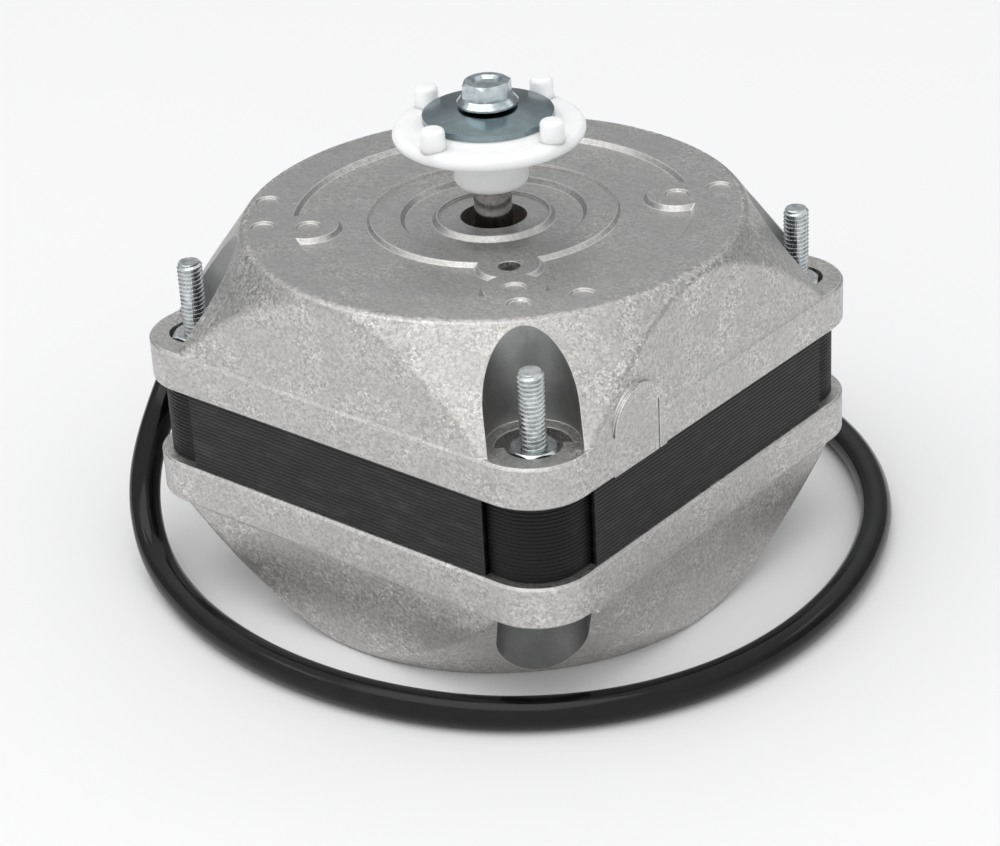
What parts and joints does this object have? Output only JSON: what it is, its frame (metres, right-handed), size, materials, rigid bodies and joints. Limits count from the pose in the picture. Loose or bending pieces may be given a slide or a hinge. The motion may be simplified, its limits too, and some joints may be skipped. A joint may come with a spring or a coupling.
{
  "type": "fan motor",
  "caption": "Square shaded-pole fan motor: die-cast shields on a black laminated core, corner mounting studs, white pegged fan hub on the shaft, and a short cable.",
  "frame": {"origin": "centre of the rear face, where the shaft axis meets the plane that the motor rests on", "axes": "+Z along the shaft towards the fan hub; X and Y along the sides of the square body, with the cable outlet on the -X side"},
  "size_m": [0.1268, 0.1246, 0.0821],
  "materials": {
    "die_cast_aluminium": "die-cast aluminium, tumbled, satin grey",
    "painted_core": "black paint on punched electrical steel",
    "rotor_steel": "punched electrical steel, turned outside",
    "rotor_aluminium": "pressure-cast aluminium",
    "bobbin_plastic": "natural glass-filled polyamide",
    "enamelled_copper": "enamelled copper wire",
    "bare_copper": "bare copper",
    "zinc_plated_steel": "bright zinc plated",
    "blue_zinc_steel": "blue passivated zinc plate, polished",
    "ground_steel": "centreless ground steel",
    "sintered_bronze": "sintered bronze, oiled",
    "oil_felt": "wool felt",
    "spring_steel": "spring steel",
    "white_hub_plastic": "moulded acetal, faintly translucent",
    "black_rubber": "moulded rubber",
    "black_cable_sheath": "glossy extruded PVC",
    "brown_insulation": "extruded PVC",
    "blue_insulation": "extruded PVC",
    "green_yellow_insulation": "extruded PVC, striped",
    "white_sleeving": "woven glass sleeve on copper wire",
    "tinned_copper": "tin plated copper"
  },
  "bodies": {
    "stator": {"bobbin_1": "bobbin_plastic", "bobbin_2": "bobbin_plastic", "bobbin_3": "bobbin_plastic", "bobbin_4": "bobbin_plastic", "cable_bush": "black_rubber", "coil_links": "white_sleeving", "core_blue": "blue_insulation", "core_brown": "brown_insulation", "core_earth": "green_yellow_insulation", "earth_screw": "zinc_plated_steel", "earth_tag": "tinned_copper", "ferrules": "tinned_copper", "front_bearing": "sintered_bronze", "front_clip": "spring_steel", "front_felt": "oil_felt", "front_shield": "die_cast_aluminium", "inner_lead_blue": "blue_insulation", "inner_lead_brown": "brown_insulation", "inner_lead_earth": "green_yellow_insulation", "rear_bearing": "sintered_bronze", "rear_clip": "spring_steel", "rear_felt": "oil_felt", "rear_shield": "die_cast_aluminium", "shading_ring_1": "bare_copper", "shading_ring_2": "bare_copper", "shading_ring_3": "bare_copper", "shading_ring_4": "bare_copper", "stator_core": "painted_core", "supply_cable": "black_cable_sheath", "tie_nuts": "zinc_plated_steel", "tie_screws": "zinc_plated_steel", "winding_1": "enamelled_copper", "winding_2": "enamelled_copper", "winding_3": "enamelled_copper", "winding_4": "enamelled_copper"},
    "rotor": {"rotor_core": "rotor_steel", "rotor_cage": "rotor_aluminium", "shaft": "ground_steel", "front_thrust_washer": "bobbin_plastic", "rear_thrust_washer": "bobbin_plastic", "fan_hub": "white_hub_plastic", "hub_washer": "blue_zinc_steel", "hub_screw": "blue_zinc_steel"}
  },
  "joints": [
    {"name": "rotor_spin", "type": "hinge", "parent": "stator", "child": "rotor", "pos_m": [0, 0, 0.0309], "axis": [0, 0, 1], "continuous": true}
  ]
}
